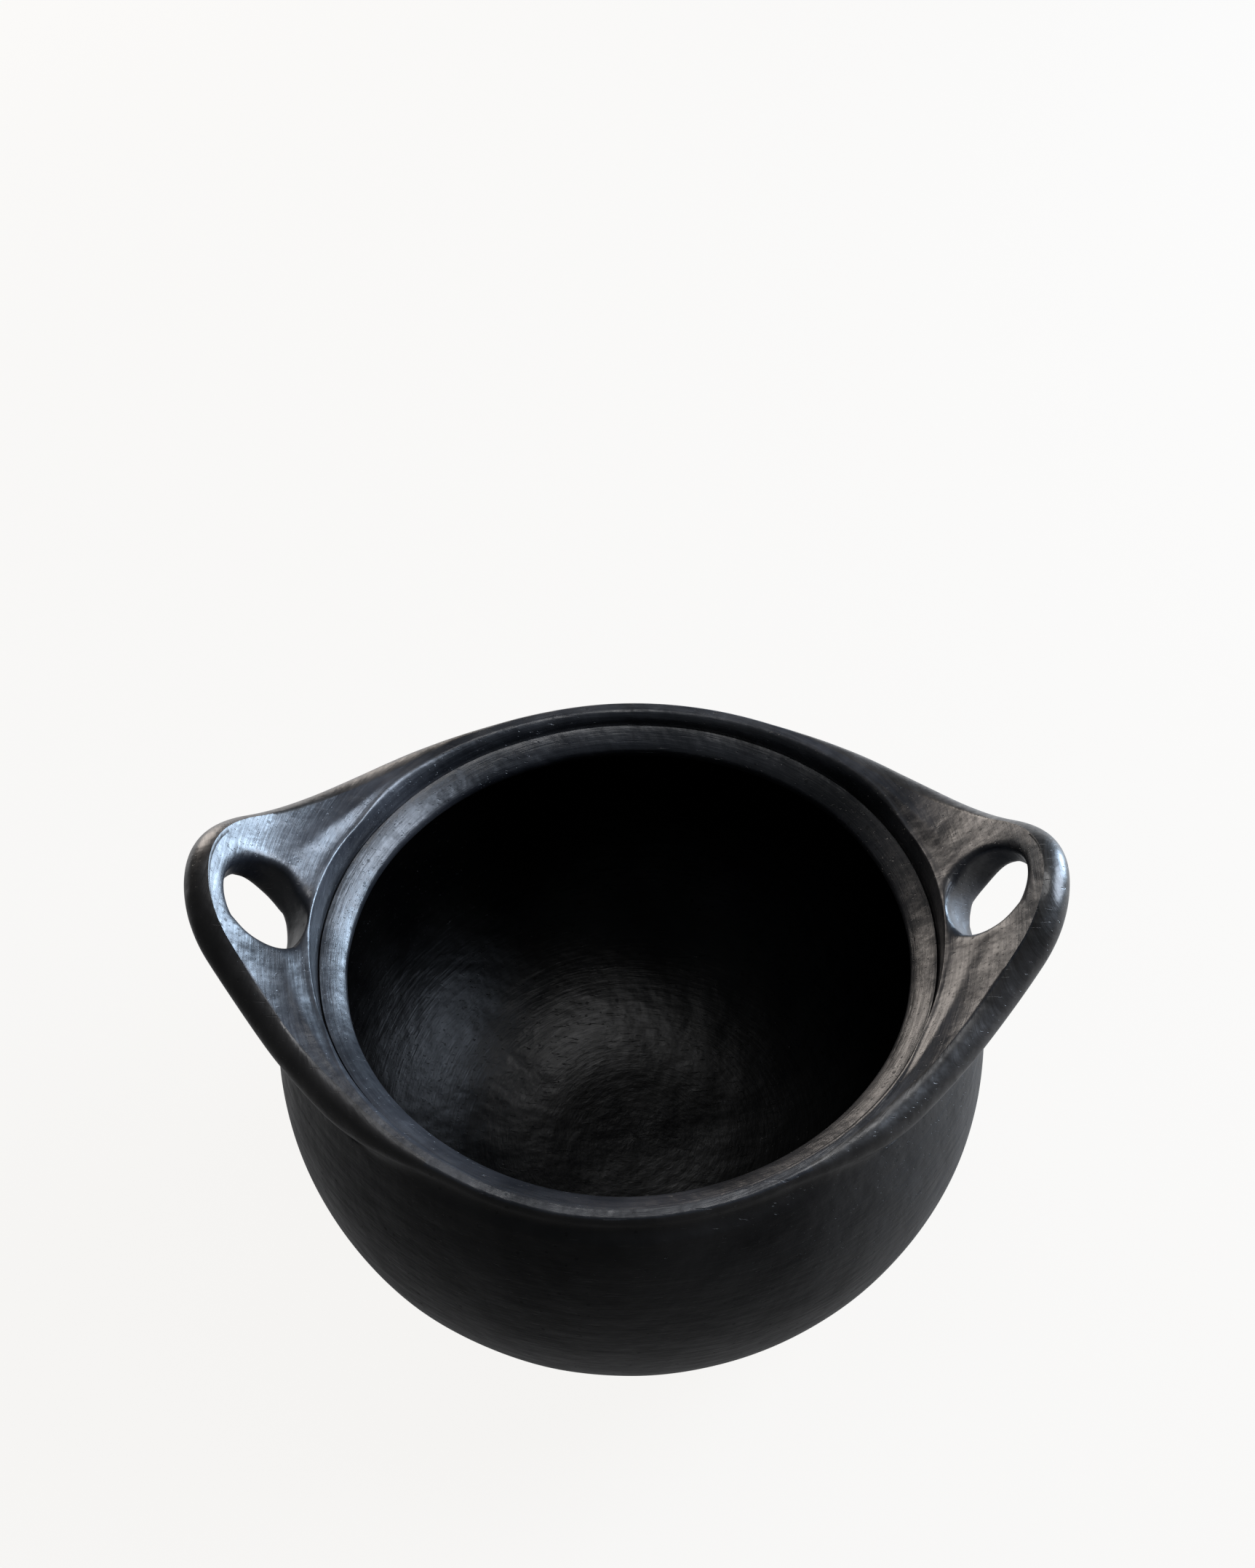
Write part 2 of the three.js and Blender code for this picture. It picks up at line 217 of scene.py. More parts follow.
def burnish_group():
    """What a pebble and the smoke leave on black clay: strokes round the pot, scratches, pits."""
    tree = bpy.data.node_groups.new("burnished_black_clay", "ShaderNodeTree")
    face = tree.interface
    for name in ("Stroke Depth", "Scratches", "Pits"):
        face.new_socket(name, in_out="INPUT", socket_type="NodeSocketFloat")
    for name in ("Shade", "Gloss Loss", "Relief"):
        face.new_socket(name, in_out="OUTPUT", socket_type="NodeSocketFloat")
    given = tree.nodes.new("NodeGroupInput").outputs
    place = tree.nodes.new("ShaderNodeTexCoord").outputs["Object"]
    split = node_in(tree, "ShaderNodeSeparateXYZ", None, Vector=place).outputs
    flat = node_in(tree, "ShaderNodeCombineXYZ", None, X=split["X"], Y=split["Y"]).outputs[0]
    radius = node_in(
        tree, "ShaderNodeVectorMath", {"operation": "LENGTH"}, i0=flat
    ).outputs["Value"]
    bearing = node_in(tree, "ShaderNodeVectorMath", {"operation": "NORMALIZE"}, i0=flat).outputs[0]
    climb = maths(tree, "ADD", radius, split["Z"])

    def round_the_pot(length, width):
        """A pattern drawn out round the pot: its strokes' length and width."""
        swept = node_in(
            tree, "ShaderNodeVectorMath", {"operation": "SCALE"}, i0=bearing, Scale=0.12 / length
        ).outputs[0]
        across = maths(tree, "DIVIDE", climb, width)
        parts = node_in(tree, "ShaderNodeSeparateXYZ", None, Vector=swept).outputs
        return node_in(
            tree, "ShaderNodeCombineXYZ", None, X=parts["X"], Y=parts["Y"], Z=across
        ).outputs[0]

    strokes = grain(tree, round_the_pot(22 * mm, 1.6 * mm), 1.0, 3.0, 0.55)
    fine_strokes = grain(tree, round_the_pot(9 * mm, 0.5 * mm), 1.0, 2.0, 0.6)
    # The unevenness that has no direction, from the widest to the finest
    clouds = grain(tree, place, 26.0, 4.0, 0.55)
    patches = grain(tree, place, 95.0, 3.0, 0.6)
    ripple = grain(tree, place, 210.0, 2.0, 0.5)
    waves = grain(tree, place, 70.0, 2.0, 0.5)

    def mixed(*parts):
        """The sum of patterns, each by its own weight."""
        total = None
        for pattern, weight in parts:
            part = maths(tree, "MULTIPLY", pattern, weight)
            total = part if total is None else maths(tree, "ADD", total, part)
        return total

    slanted = node_in(
        tree, "ShaderNodeMapping", None,
        Vector=place, Rotation=(0.4, 0.5, 0.7), Scale=(60, 900, 900),
    ).outputs[0]
    crossed = node_in(
        tree, "ShaderNodeMapping", None,
        Vector=place, Rotation=(0.3, -0.6, -0.9), Scale=(75, 1100, 1100),
    ).outputs[0]
    scratch = maths(
        tree, "MAXIMUM",
        ramp(tree, grain(tree, slanted, 1.0, 1.0), 0.70, 0.76),
        ramp(tree, grain(tree, crossed, 1.0, 1.0), 0.71, 0.77),
    )
    scratch = maths(tree, "MULTIPLY", scratch, given["Scratches"])

    cells = node_in(tree, "ShaderNodeTexVoronoi", None, Vector=place, Scale=330.0, Randomness=1.0)
    pick = node_in(tree, "ShaderNodeSeparateColor", None, Color=cells.outputs["Color"]).outputs
    pit_size = maths(tree, "MULTIPLY", ramp(tree, pick["Red"], 0.62, 1.0), 0.24)
    pit = maths(tree, "LESS_THAN", cells.outputs["Distance"], pit_size)
    pit = maths(tree, "MULTIPLY", pit, given["Pits"])

    cloud = ramp(tree, clouds, 0.32, 0.68)
    # The pits are hollows in the relief, and are painted darker too: painted shade in them.
    shade = mixed((cloud, 0.7), (patches, 0.3), (scratch, 0.6), (pit, -0.5))
    dull = mixed((strokes, 0.4), (patches, 0.25), (fine_strokes, 0.15), (clouds, 0.2), (pit, 0.6))
    drawn = maths(tree, "MULTIPLY", mixed((strokes, 1), (fine_strokes, 0.35)), given["Stroke Depth"])
    relief = mixed((drawn, 1), (ripple, 0.7), (waves, 2.2), (scratch, -0.5), (pit, -1.6))

    out = tree.nodes.new("NodeGroupOutput").inputs
    tree.links.new(maths(tree, "ADD", shade, 0.0, clamp=True), out["Shade"])
    tree.links.new(maths(tree, "ADD", dull, 0.0, clamp=True), out["Gloss Loss"])
    tree.links.new(relief, out["Relief"])
    return tree


burnish = burnish_group()
plain_up_to, rubbed_from = 123 * mm, 138 * mm


def clay(name, shades, roughness, sheen, strokes, scratches, pits, relief, below=None):
    """Burnished black clay: its two shades, its roughness and sheen from and to, its marks.

    Where hands rub it, it runs out lower down into the shades and sheen given as below.
    """
    material = bpy.data.materials.new(name)
    material.use_nodes = True
    tree = material.node_tree
    tree.nodes.clear()
    marks = tree.nodes.new("ShaderNodeGroup")
    marks.node_tree = burnish
    marks.inputs["Stroke Depth"].default_value = strokes
    marks.inputs["Scratches"].default_value = scratches
    marks.inputs["Pits"].default_value = pits
    shade = marks.outputs["Shade"]

    def tinted(dark, light):
        return node_in(
            tree, "ShaderNodeMix", {"data_type": "RGBA"},
            i0=shade, i6=(*dark, 1), i7=(*light, 1),
        ).outputs[2]

    def levelled(least, most):
        return node_in(
            tree, "ShaderNodeMapRange", None,
            Value=shade, **{"To Min": least, "To Max": most},
        ).outputs[0]

    tint = tinted(*shades)
    rough = node_in(
        tree, "ShaderNodeMapRange", None,
        Value=marks.outputs["Gloss Loss"],
        **{"From Min": 0.36, "From Max": 0.64, "To Min": roughness[0], "To Max": roughness[1]},
    ).outputs[0]
    level = levelled(*sheen)
    if below:
        place = tree.nodes.new("ShaderNodeTexCoord").outputs["Object"]
        height = node_in(tree, "ShaderNodeSeparateXYZ", None, Vector=place).outputs["Z"]
        rubbed = ramp(tree, height, plain_up_to, rubbed_from)
        low_tint = tinted(*below[0])
        low_level = levelled(*below[1])
        tint = node_in(
            tree, "ShaderNodeMix", {"data_type": "RGBA"}, i0=rubbed, i6=low_tint, i7=tint
        ).outputs[2]
        level = node_in(
            tree, "ShaderNodeMix", {"data_type": "FLOAT"}, i0=rubbed, i2=low_level, i3=level
        ).outputs[0]
    bump = node_in(
        tree, "ShaderNodeBump", None,
        Height=marks.outputs["Relief"], Strength=relief, Distance=0.4 * mm,
    ).outputs[0]
    skin = node_in(
        tree, "ShaderNodeBsdfPrincipled", None,
        Roughness=rough, Normal=bump, **{"Base Color": tint, "Specular IOR Level": level},
    )
    out = tree.nodes.new("ShaderNodeOutputMaterial")
    tree.links.new(skin.outputs[0], out.inputs["Surface"])
    return material


plain_shades = ((0.003, 0.003, 0.0035), (0.010, 0.0095, 0.010))
plain_sheen = (0.3, 0.7)
body_clay = clay(
    "body_clay", plain_shades, roughness=(0.34, 0.54), sheen=plain_sheen,
    strokes=0.4, scratches=0.6, pits=0.3, relief=0.8,
)
# The inside has less sheen, and its shades are painted darker as the shade that falls inside the
# pot.
inner_clay_and_shade = clay(
    "inner_clay_and_shade", ((0.001, 0.001, 0.0013), (0.003, 0.0028, 0.0025)),
    roughness=(0.28, 0.42), sheen=(0.1, 0.26),
    strokes=0.4, scratches=1.0, pits=1.0, relief=0.7,
)


def worked(bm):
    for vert in bm.verts:
        vert.co = hand_worked(vert.co)
    return bm


def across(end, height, steps=14):
    """Points from the pot's axis out to a radius, all at one height."""
    return [(end * i / steps, height) for i in range(steps)]


base = turned(
    across(foot_radius, 0)
    + outside(0, base_joint, 36)
    + inside(floor_height, base_joint + scarf, 40)[::-1]
    + across(inner_floor_radius, floor_height)[::-1]
)
fire(worked(base), "base_bowl", body_clay, inner_clay_and_shade)


# ---- Lower wall coil and upper wall coil ----
# Two thick coils of clay, one above the other, scraped thin and luted on at scarfed joints that
# slope up towards the inside. The lower one holds the belly and the upper one the shoulder.

wall_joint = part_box("lower_wall_coil")[1].z - scarf
rim_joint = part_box("upper_wall_coil")[1].z

lower_wall = turned(
    outside(base_joint, wall_joint, 28) + inside(base_joint + scarf, wall_joint + scarf, 28)[::-1]
)
fire(worked(lower_wall), "lower_wall_coil", body_clay, inner_clay_and_shade)

upper_wall = turned(
    outside(wall_joint, rim_joint, 24) + inside(wall_joint + scarf, rim_joint, 22)[::-1]
)
fire(worked(upper_wall), "upper_wall_coil", body_clay, inner_clay_and_shade)


# ---- Mouth and ears, as one shape ----
# The seat, the lip and the ears are luted together and smoothed over with a wet finger, so that
# no joint shows. They are shaped here as one closed ring, and parted below along their joints.

lip_inner_radius = rim_outer_radius - 5 * mm
groove_radius = lip_inner_radius - 3.3 * mm
groove_height = rim_height - 7 * mm
seat_width = 8.5 * mm
seat_radius = groove_radius - seat_width
seat_top = groove_height - 5 * mm
seat_thickness = 8 * mm
seat_foot = 7 * mm

crest_radius = rim_outer_radius - 2 * mm
ear_reach = 25.2 * mm
ear_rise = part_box("right_handle_edge_coil")[1].z - rim_height
tip_rounding = 40.6 * mm
rise_inset = 15.7 * mm
rise_softness = 26 * mm
web_dish = 1.5 * mm
web_fullness = 4 * mm
mouth_dip, mouth_dip_from = 3 * mm, 0.6
side_fullness = 2.5 * mm
fullness_from, fullness_to = 0, math.radians(51)
ear_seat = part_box("right_handle_web")[0].z
ear_half_angle = math.radians(58)

tip_radius = crest_radius + ear_reach
tip_centre = tip_radius - tip_rounding
tangent_angle = math.acos((crest_radius - tip_rounding) / tip_centre)
tip_arc_angle = math.atan2(
    tip_rounding * math.sin(tangent_angle), tip_centre + tip_rounding * math.cos(tangent_angle)
)

# The coil along the ear's edge, first where it runs out on the rim and then where it is fullest
coil_out = (0, 1.2 * mm)
coil_half_width = (2 * mm, 8.1 * mm)
coil_half_height = (3 * mm, 7.3 * mm)

# The coil swells from nothing at the first angle to its share at the second, twice over
side_swell, side_swell_from, side_swell_to = 0.8, 64, 38
tip_swell, tip_swell_from, tip_swell_to = 0.2, 25, 6
coil_tuck = math.radians(95)
tucked_when_proud = 8 * mm
slant_at_wall, slant_at_coil = 0.85, 0.7

# The hump between the upper face and the groove: how far it stands in from the lip and how soft
# it is, first on the rim and then on the ears
hump_in = (0.8 * mm, -1.9 * mm)
hump_softness = (2.1 * mm, 1.0 * mm)

outside_rows, under_rows, roll_rows, face_rows = 10, 24, 26, 24
hump_rows, seat_rows, nose_rows, foot_rows = 12, 14, 16, 10


def eased(share):
    share = min(max(share, 0), 1)
    return share * share * (3 - 2 * share)


def mix(start, end, share):
    return start + (end - start) * share


def to_ear(bearing):
    """The angle to the middle of the nearer ear."""
    folded = abs(math.remainder(bearing, math.tau))
    return min(folded, math.pi - folded)


def crest_at(angle):
    """Plan radius of the ear's crest: a rounded tip, and full sides that run in to the rim."""
    along = min(max((angle - fullness_from) / (fullness_to - fullness_from), 0), 1)
    fuller = side_fullness * math.sin(math.pi * along) ** 2
    if angle >= tangent_angle:
        return crest_radius + fuller
    if angle >= tip_arc_angle:
        return crest_radius / math.cos(tangent_angle - angle) + fuller
    side = tip_centre * math.sin(angle)
    return tip_centre * math.cos(angle) + math.sqrt(tip_rounding**2 - side * side) + fuller


def bend(x):
    past = x - (tip_radius - rise_inset)
    return math.hypot(past, rise_softness) + past


def ear_height(radius, angle):
    """Height of the ear's upper face: it curls up towards the tip and is straight across."""
    x = radius * math.cos(angle)
    climbed = (bend(x) - bend(0)) / (bend(tip_radius) - bend(0))
    return rim_height + ear_rise * climbed * eased(x / (60 * mm))


def bezier(points, steps):
    """The points along a Bezier curve, without its last one."""
    corners = [Vector(p) for p in points]
    curve = []
    for i in range(steps):
        row = corners
        while len(row) > 1:
            row = [a.lerp(b, i / steps) for a, b in zip(row, row[1:])]
        curve.append(row[0])
    return curve


class EarSection:
    """The outline of the mouth and ear at one angle from the ear's middle."""

    def __init__(self, angle):
        self.angle = angle
        crest = crest_at(angle)
        self.reach = (crest - crest_radius) / ear_reach
        degrees = math.degrees(angle)
        swell = side_swell * eased(
            (side_swell_from - degrees) / (side_swell_from - side_swell_to)
        ) + tip_swell * eased((tip_swell_from - degrees) / (tip_swell_from - tip_swell_to))
        self.half = Vector((mix(*coil_half_width, swell), mix(*coil_half_height, swell)))
        outward = mix(*coil_out, swell)
        self.top_turn = math.acos(-outward / self.half.x)
        top = self.half.y * math.sin(self.top_turn)
        self.centre = Vector((crest + outward, ear_height(crest, angle) - top))
        proud = self.centre.x + self.half.x - outer_radius(self.centre.y)
        self.low_turn = -coil_tuck * eased(proud / tucked_when_proud)
        self.foot_height = mix(ear_seat + mm, ear_seat + 1.6 * mm, self.reach)
        self.roll_start = self.roll(0)
        self.roll_end = self.roll(1)
        foot = Vector((outer_radius(self.foot_height), self.foot_height))
        below = Vector((outer_radius(self.foot_height - mm), self.foot_height - mm))
        along_roll = Vector(
            (-self.half.x * math.sin(self.low_turn), self.half.y * math.cos(self.low_turn))
        )
        span = (self.roll_start - foot).length
        slant = (self.roll_start - foot) / span
        up_the_wall = (foot - below).normalized()
        out_on_ear = eased(self.reach * 3)
        leave = up_the_wall.lerp(slant, slant_at_wall * out_on_ear).normalized()
        arrive = along_roll.normalized().lerp(slant, slant_at_coil * out_on_ear).normalized()
        self.under = [
            foot,
            foot + leave * span * 0.33,
            self.roll_start - arrive * span * 0.33,
            self.roll_start,
        ]

    def roll(self, share):
        turn = mix(self.low_turn, self.top_turn, share)
        return self.centre + Vector((self.half.x * math.cos(turn), self.half.y * math.sin(turn)))

    def underside(self, share):
        a, b, c, d = self.under
        rest = 1 - share
        low = web_fullness * eased(self.reach * 2) * math.sin(math.pi * share) ** 2
        on_curve = a * rest**3 + b * 3 * rest**2 * share + c * 3 * rest * share**2 + d * share**3
        return on_curve + Vector((0.5 * low, -low))

    def upper_face(self, share):
        hump = lip_inner_radius + mix(*hump_in, eased(self.reach * 3))
        radius = mix(self.roll_end.x, hump, share)
        start_gap = self.roll_end.y - ear_height(self.roll_end.x, self.angle)
        dish = web_dish * self.reach * math.sin(math.pi * share)
        near_mouth = eased((share - mouth_dip_from) / (1 - mouth_dip_from))
        dish += mouth_dip * eased(self.reach * 2.5) * near_mouth
        height = ear_height(radius, self.angle) - dish + start_gap * (1 - eased(share * 3))
        return Vector((radius, height))

    def outline(self):
        top = self.upper_face(1)
        face_before = self.upper_face(1 - 1 / face_rows)
        seat_base = rim_joint - seat_foot
        wall_heights = [
            mix(rim_joint, self.foot_height, i / outside_rows) for i in range(outside_rows)
        ]
        points = [Vector((outer_radius(z), z)) for z in wall_heights]
        points += [self.underside(i / under_rows) for i in range(under_rows)]
        points += [self.roll(i / roll_rows) for i in range(roll_rows)]
        points += [self.upper_face(i / face_rows) for i in range(face_rows)]
        run_out = (top - face_before).normalized()
        deep = top.y - groove_height
        slope_foot = Vector((groove_radius + 0.5 * mm, groove_height + 0.5 * mm))
        hump = top + run_out * mix(*hump_softness, eased(self.reach * 3))
        brow = Vector((groove_radius + 0.8 * mm, groove_height + 0.42 * deep))
        points += bezier([top, hump, brow, slope_foot], hump_rows)
        points.append(slope_foot)
        points.append(Vector((groove_radius, groove_height - 0.5 * mm)))
        nose_top = Vector((seat_radius + mm, seat_top))
        points += bezier(
            [
                (groove_radius - 0.5 * mm, groove_height + 0.2 * mm),
                (groove_radius - 0.3 * seat_width, groove_height - 0.5 * mm),
                (groove_radius - 0.75 * seat_width, groove_height - 3.4 * mm),
                nose_top,
            ],
            seat_rows - 2,
        )
        nose_foot = Vector((seat_radius + 0.5 * seat_width, seat_top - seat_thickness))
        points += bezier(
            [
                nose_top,
                (seat_radius - 1.5 * mm, seat_top - 1.5 * mm),
                (seat_radius - 0.5 * mm, seat_top - 6 * mm),
                nose_foot,
            ],
            nose_rows // 2,
        )
        wall_foot = Vector((inner_radius(seat_base), seat_base))
        steps = nose_rows - nose_rows // 2
        points += [nose_foot.lerp(wall_foot, i / steps) for i in range(steps)]
        inner_corner = Vector((inner_radius(rim_joint), rim_joint))
        outer_corner = Vector((outer_radius(rim_joint), rim_joint))
        half = foot_rows // 2
        points += [wall_foot.lerp(inner_corner, i / half) for i in range(half)]
        points += [inner_corner.lerp(outer_corner, i / half) for i in range(half)]
        return points


section_size = len(EarSection(0).outline())
under_start = outside_rows
face_start = outside_rows + under_rows + roll_rows

# The finger hole is square to the leaning web, and as wide as the web allows. The potter's finger
# went in a little to one side and came out slanting: each pair is of the right and the left ear.
hole_lean = math.radians(33)
hole_half_width = 16.6 * mm
hole_inner_lip = 0.6 * mm
hole_outer_lip = 7.6 * mm
hole_drift = (3.4 * mm, 3.8 * mm)
hole_slant = (-1.2 * mm, 3.2 * mm)
hole_columns = 13
hole_reach = 26
hole_margin = 3

middle = EarSection(0)
hole_along = Vector((math.cos(hole_lean), math.sin(hole_lean)))
hole_inner = middle.upper_face(1).dot(hole_along) + hole_inner_lip
hole_outer = middle.upper_face(0).dot(hole_along) - hole_outer_lip
hole_half_length = (hole_outer - hole_inner) / 2
hole_middle = (hole_outer + hole_inner) / 2
hole_half_rows = face_rows / 2 - hole_margin


def on_ear(surface, bearing, share):
    """A point of the ear's upper face or underside: its distance along +X, side and height."""
    section = EarSection(abs(bearing))
    flat = getattr(section, surface)(share)
    return Vector((flat.x * math.cos(bearing), flat.x * math.sin(bearing), flat.y))


def on_hole(surface, turn, left):
    """Where the line of a hole at one turn round it leaves a face: (bearing, share)."""
    side = hole_half_width * math.cos(turn) + hole_drift[left]
    if surface == "underside":
        side += hole_slant[left]
    along = hole_middle + hole_half_length * math.sin(turn)
    bearing = math.asin(side / tip_radius)
    shares = [i / 16 for i in range(17)]
    for _ in range(3):
        face = getattr(EarSection(abs(bearing)), surface)
        reached = [face(s).dot(hole_along) for s in shares]
        if reached[0] > reached[-1]:
            share = float(np.interp(along, reached[::-1], shares[::-1]))
        else:
            share = float(np.interp(along, reached, shares))
        bearing = math.asin(max(-1, min(1, side / face(share).x)))
    return bearing, share


@functools.cache
def round_the_hole(surface, column, row, sense, left):
    """Where a corner of one ear's net goes, so that the net opens round the hole."""
    a = column / hole_columns
    b = (row - face_rows / 2) / hole_half_rows
    square = max(abs(a), abs(b))
    if square < 0.99:
        return on_ear(surface, 0, 0.5)
    bearing, share = on_hole(surface, math.atan2(sense * b, a), left)
    away = (a / square, b / square)
    limits = [
        limit / abs(part)
        for part, limit in zip(away, (hole_reach / hole_columns, face_rows / 2 / hole_half_rows))
        if abs(part) > 1e-6
    ]
    edge = min(limits)
    far_bearing = away[0] * edge * hole_columns * math.tau / turn_steps
    far_share = (away[1] * edge * hole_half_rows + face_rows / 2) / face_rows
    out = max(0, square - 1) / (edge - 1)
    return on_ear(surface, mix(bearing, far_bearing, out), mix(share, far_share, out))


mouth = bmesh.new()
bmesh.ops.create_circle(mouth, cap_ends=False, radius=0.5, segments=section_size)
upright = Matrix.Rotation(math.pi / 2, 3, "X")
bmesh.ops.rotate(mouth, verts=mouth.verts, cent=(0, 0, 0), matrix=upright)
bmesh.ops.translate(mouth, verts=mouth.verts, vec=(1, 0, 0))
bmesh.ops.spin(
    mouth,
    geom=mouth.verts[:] + mouth.edges[:],
    cent=(0, 0, 0),
    axis=(0, 0, 1),
    angle=math.tau,
    steps=turn_steps,
    use_merge=True,
)
bmesh.ops.remove_doubles(mouth, verts=mouth.verts, dist=mm)
mouth.verts.ensure_lookup_table()

outlines = {}
net = []
for vert in mouth.verts:
    column = round(math.atan2(vert.co.y, vert.co.x) * turn_steps / math.tau)
    turn = math.atan2(vert.co.z, vert.co.xy.length - 1)
    row = round(turn * section_size / math.tau) % section_size
    net.append((column, row))
    near = min(abs(column), turn_steps // 2 - abs(column))
    if near not in outlines:
        outlines[near] = EarSection(near * math.tau / turn_steps).outline()
    flat = outlines[near][row]
    bearing = column * math.tau / turn_steps
    vert.co = (flat.x * math.cos(bearing), flat.x * math.sin(bearing), flat.y)
    if near < hole_reach:
        left = abs(column) > turn_steps / 4
        own = column - math.copysign(turn_steps // 2, column) if left else column
        if under_start <= row <= under_start + under_rows:
            place = round_the_hole("underside", own, row - under_start, 1, left)
        elif face_start <= row <= face_start + face_rows:
            place = round_the_hole("upper_face", own, row - face_start, -1, left)
        else:
            continue
        vert.co = Vector((-place.x, -place.y, place.z)) if left else place


def in_block(vert):
    column, row = net[vert.index]
    near = min(abs(column), turn_steps // 2 - abs(column))
    rows = [row - start for start in (under_start, face_start)]
    inside_rows = any(hole_margin <= r <= face_rows - hole_margin for r in rows)
    return near <= hole_columns and inside_rows


worked_over = [
    vert
    for vert in mouth.verts
    if outside_rows // 2 <= net[vert.index][1] < section_size - 2 * foot_rows
]
block = [face for face in mouth.faces if all(in_block(vert) for vert in face.verts)]
bmesh.ops.delete(mouth, geom=block, context="FACES")
brims = [edge for edge in mouth.edges if edge.is_boundary]
brim_tree = kdtree.KDTree(2 * len(brims))
for i, edge in enumerate(brims):
    for k, vert in enumerate(edge.verts):
        brim_tree.insert(vert.co, 2 * i + k)
brim_tree.balance()
for side in (1, -1):
    own = [edge for edge in brims if edge.verts[0].co.x * side > 0]
    bridged = bmesh.ops.bridge_loops(mouth, edges=own)
    bmesh.ops.subdivide_edges(mouth, edges=bridged["edges"], cuts=9, use_grid_fill=True)
bmesh.ops.recalc_face_normals(mouth, faces=mouth.faces)


def rubbed_down(verts, times):
    """Smooths a part of the mouth and ears, as a wet finger does."""
    for _ in range(times):
        bmesh.ops.smooth_vert(
            mouth, verts=verts, factor=0.5, use_axis_x=True, use_axis_y=True, use_axis_z=True
        )


# The brims of the finger holes first, most of all close to them, and then the whole
for reach, times in ((5 * mm, 1), (3.2 * mm, 3), (2.2 * mm, 4)):
    rubbed_down([vert for vert in mouth.verts if brim_tree.find(vert.co)[2] < reach], times)
rubbed_down([vert for vert in worked_over if vert.is_valid], 2)

# The rim sits a little lower and closer in at the back, and the ears are set a little back.
back_drop, back_draw_in, ears_back = 0.28, 0.011, 1.6 * mm
for vert in mouth.verts:
    behind = eased(vert.co.y / (110 * mm))
    lift = vert.co.z - seat_top
    if lift > 0:
        vert.co.z -= back_drop * lift * behind
        vert.co.xy *= 1 - back_draw_in * behind * eased(lift / (10 * mm))
    on_the_ear = eased((vert.co.xy.length - crest_radius) / (12 * mm))
    vert.co.y += ears_back * on_the_ear * eased((vert.co.z - ear_seat) / (12 * mm))


def shape(bm, name):
    mesh = bpy.data.meshes.new(name)
    bm.to_mesh(mesh)
    bm.free()
    made = bpy.data.objects.new(name, mesh)
    bpy.context.scene.collection.objects.link(made)
    return made


def parted(whole, cutter, operation):
    """What is left of a shape outside a cutter, or inside it."""
    cut = whole.modifiers.new("cut", "BOOLEAN")
    cut.operation = operation
    cut.solver = "MANIFOLD"
    cut.object = cutter
    bpy.context.view_layer.update()
    result = whole.evaluated_get(bpy.context.evaluated_depsgraph_get())
    bm = bmesh.new()
    bm.from_mesh(result.to_mesh())
    result.to_mesh_clear()
    whole.modifiers.remove(cut)
    return bm


def discard(*shapes):
    for made in shapes:
        bpy.data.objects.remove(made)


mouth_shape = shape(worked(mouth), "mouth")


# ---- Lid seat ----
# A coil stuck to the inside of the wall, its crowned top sloping in to carry a lid. The groove
# where it meets the lip is drawn with a pointed stick.

mouth_clay = clay(
    "mouth_clay", ((0.006, 0.007, 0.009), (0.024, 0.025, 0.030)),
    roughness=(0.28, 0.50), sheen=(0.5, 1.0),
    strokes=0.4, scratches=0.8, pits=1.0, relief=0.9,
)

seat_cutter = shape(
    turned(
        [
            (80 * mm, 100 * mm),
            (rim_outer_radius - mm, 100 * mm),
            (rim_outer_radius - mm, rim_joint - 0.4 * mm),
            (groove_radius, rim_joint + 2 * mm),
            (groove_radius, 160 * mm),
            (80 * mm, 160 * mm),
        ]
    ),
    "seat_cutter",
)
fire(parted(mouth_shape, seat_cutter, "INTERSECT"), "lid_seat", mouth_clay)
rim_and_ears = shape(parted(mouth_shape, seat_cutter, "DIFFERENCE"), "rim_and_ears")


# ---- Rim lip ----
# The last coil of the wall: a rounded lip with an inner slope down to the groove, cut down in
# two places where the ears are set on it.

edge_clay = clay(
    "edge_clay", ((0.009, 0.008, 0.007), (0.030, 0.026, 0.024)),
    roughness=(0.28, 0.48), sheen=(0.5, 1.0),
    strokes=0.25, scratches=0.4, pits=0.5, relief=0.8, below=(plain_shades, plain_sheen),
)


def wedge(side):
    """The room over the rim that one ear is set in."""
    bm = bmesh.new()
    reach = 160 * mm
    swing = reach * math.tan(ear_half_angle)
    corners = [(0, 0, ear_seat), (side * reach, -swing, ear_seat), (side * reach, swing, ear_seat)]
    plan = bm.faces.new([bm.verts.new(corner) for corner in corners])
    raised = bmesh.ops.extrude_face_region(bm, geom=[plan])["geom"]
    tops = [item for item in raised if isinstance(item, bmesh.types.BMVert)]
    bmesh.ops.translate(bm, verts=tops, vec=(0, 0, 80 * mm))
    bmesh.ops.recalc_face_normals(bm, faces=bm.faces)
    return bm


right_wedge = shape(wedge(1), "right_wedge")
left_wedge = shape(wedge(-1), "left_wedge")
rim_without_right = shape(parted(rim_and_ears, right_wedge, "DIFFERENCE"), "rim_without_right")
rim = parted(rim_without_right, left_wedge, "DIFFERENCE")
fire(rim, "rim_lip", edge_clay, mouth_clay)


# ---- Handle webs and handle edge coils ----
# Each ear is a slab of clay pulled up and out from the lip and pierced by a finger hole, with a
# thick coil rolled along its outer edge. Hands and cloths rub the coil smoother and browner.

handle_clay = clay(
    "handle_clay", ((0.006, 0.007, 0.009), (0.024, 0.025, 0.031)),
    roughness=(0.28, 0.50), sheen=(0.5, 1.0),
    strokes=0.25, scratches=0.5, pits=0.7, relief=0.9, below=(plain_shades, plain_sheen),
)

